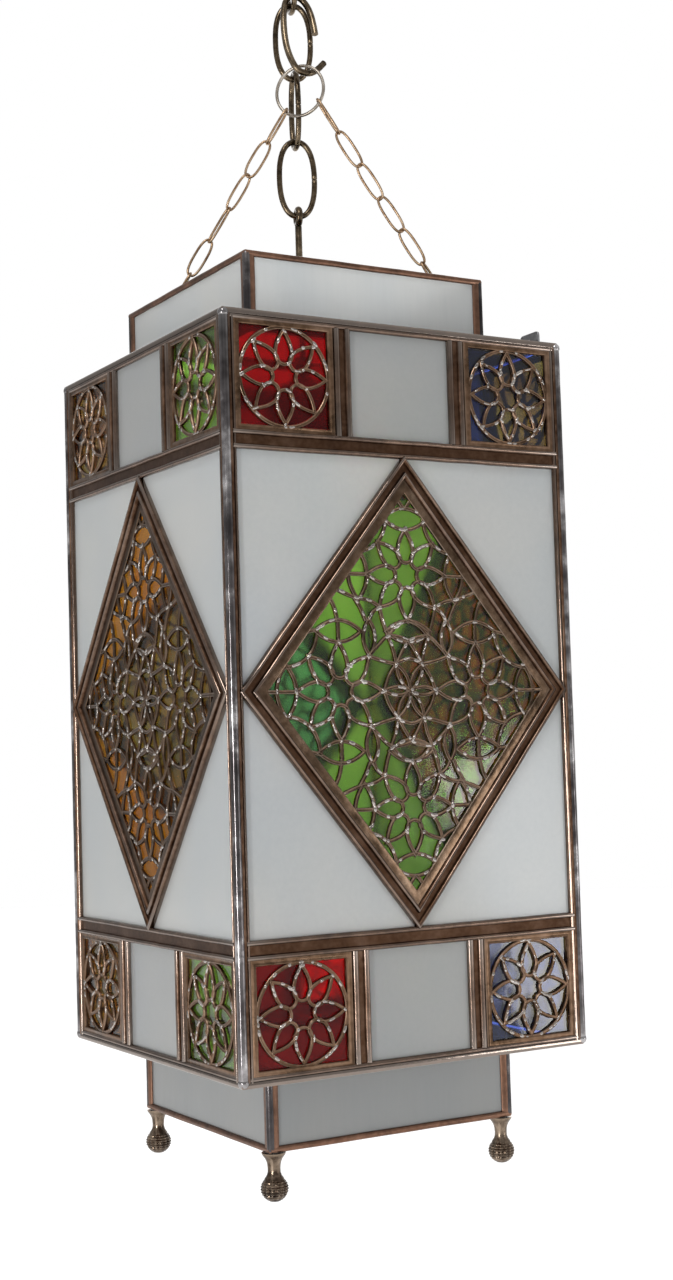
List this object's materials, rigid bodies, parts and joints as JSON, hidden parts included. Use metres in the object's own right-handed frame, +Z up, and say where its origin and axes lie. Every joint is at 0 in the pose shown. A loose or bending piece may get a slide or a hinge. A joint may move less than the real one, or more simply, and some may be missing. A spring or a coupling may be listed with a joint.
{
  "type": "moroccan hanging lantern",
  "caption": "Square hanging lantern of pierced copper and coloured glass on a chain, with a hinged door, a turning latch, glazed collars and ball feet.",
  "frame": {"origin": "the point it hangs from, on the underside of the ceiling link's top bend, on the housing's vertical axis", "axes": "+Z up, the front face looks along -Y, and the door is the +X face with its hinge at the back right corner"},
  "size_m": [0.1842, 0.1812, 0.6348],
  "materials": {
    "copper": "dark brown copper patina, satin, worn bright along the beads",
    "collar_copper": "redder copper foil with a brown patina, satin",
    "solder": "dark tinned solder, smooth and shiny",
    "antique_brass": "dark antique brass, semi-gloss",
    "bronze": "dull bronze brown, satin",
    "steel": "dull grey steel",
    "frosted_glass": "translucent light grey glass with faint streaks",
    "red_glass": "clear deep red glass",
    "blue_glass": "clear deep blue glass",
    "green_glass": "clear yellow-green glass",
    "teal_glass": "clear blue-green glass",
    "amber_glass": "clear amber glass",
    "black_plastic": "matte black",
    "bulb_glass": "opal white glass"
  },
  "bodies": {
    "hanger": {"ceiling_link": "antique_brass"},
    "chain_top": {"top_link": "antique_brass"},
    "lantern": {"upper_link": "antique_brass", "vertical_link": "antique_brass", "lower_link": "antique_brass", "hook_link": "antique_brass", "chain_ring": "steel", "side_chain_left": "bronze", "side_chain_right": "bronze", "hanger_rod": "antique_brass", "lamp_holder": "black_plastic", "bulb": "bulb_glass", "top_shoulder": "copper", "bottom_shoulder": "copper", "upper_collar_frame": "collar_copper", "upper_collar_glass": "frosted_glass", "lower_collar_frame": "collar_copper", "lower_collar_glass": "frosted_glass", "door_hinge": "copper", "corner_post_front_left": "solder", "foot_front_left": "bronze", "corner_post_front_right": "solder", "foot_front_right": "bronze", "corner_post_back_left": "solder", "foot_back_left": "bronze", "corner_post_back_right": "solder", "foot_back_right": "bronze", "front_frame": "copper", "front_diamond_grille": "copper", "front_diamond_glass": "green_glass", "front_frosted_glass": "frosted_glass", "front_glass_upper_left": "red_glass", "front_glass_upper_right": "blue_glass", "front_glass_lower_left": "red_glass", "front_glass_lower_right": "blue_glass", "back_frame": "copper", "back_diamond_grille": "copper", "back_diamond_glass": "teal_glass", "back_frosted_glass": "frosted_glass", "back_glass_upper_left": "red_glass", "back_glass_upper_right": "blue_glass", "back_glass_lower_left": "red_glass", "back_glass_lower_right": "blue_glass", "left_frame": "copper", "left_diamond_grille": "copper", "left_diamond_glass": "amber_glass", "left_frosted_glass": "frosted_glass", "left_glass_upper_left": "amber_glass", "left_glass_upper_right": "green_glass", "left_glass_lower_left": "amber_glass", "left_glass_lower_right": "green_glass"},
    "door": {"door_frame": "copper", "door_diamond_grille": "copper", "door_diamond_glass": "amber_glass", "door_frosted_glass": "frosted_glass", "door_glass_upper_left": "amber_glass", "door_glass_upper_right": "green_glass", "door_glass_lower_left": "amber_glass", "door_glass_lower_right": "green_glass"},
    "latch": {"door_latch": "steel"}
  },
  "joints": [
    {"name": "chain_swing_sideways", "type": "hinge", "parent": "hanger", "child": "chain_top", "pos_m": [0, 0, -0.0363], "axis": [0.9511, -0.309, 0], "range_deg": [-30, 30]},
    {"name": "lantern_swing", "type": "hinge", "parent": "chain_top", "child": "lantern", "pos_m": [0, 0, -0.0709], "axis": [0.309, 0.9511, 0], "range_deg": [-30, 30]},
    {"name": "door_hinge_turn", "type": "hinge", "parent": "lantern", "child": "door", "pos_m": [0.0916, 0.085, -0.41335], "axis": [0, 0, 1], "range_deg": [0, 115]},
    {"name": "latch_turn", "type": "hinge", "parent": "lantern", "child": "latch", "pos_m": [0.0902, -0.065, -0.24675], "axis": [1, 0, 0], "range_deg": [0, 180]}
  ]
}
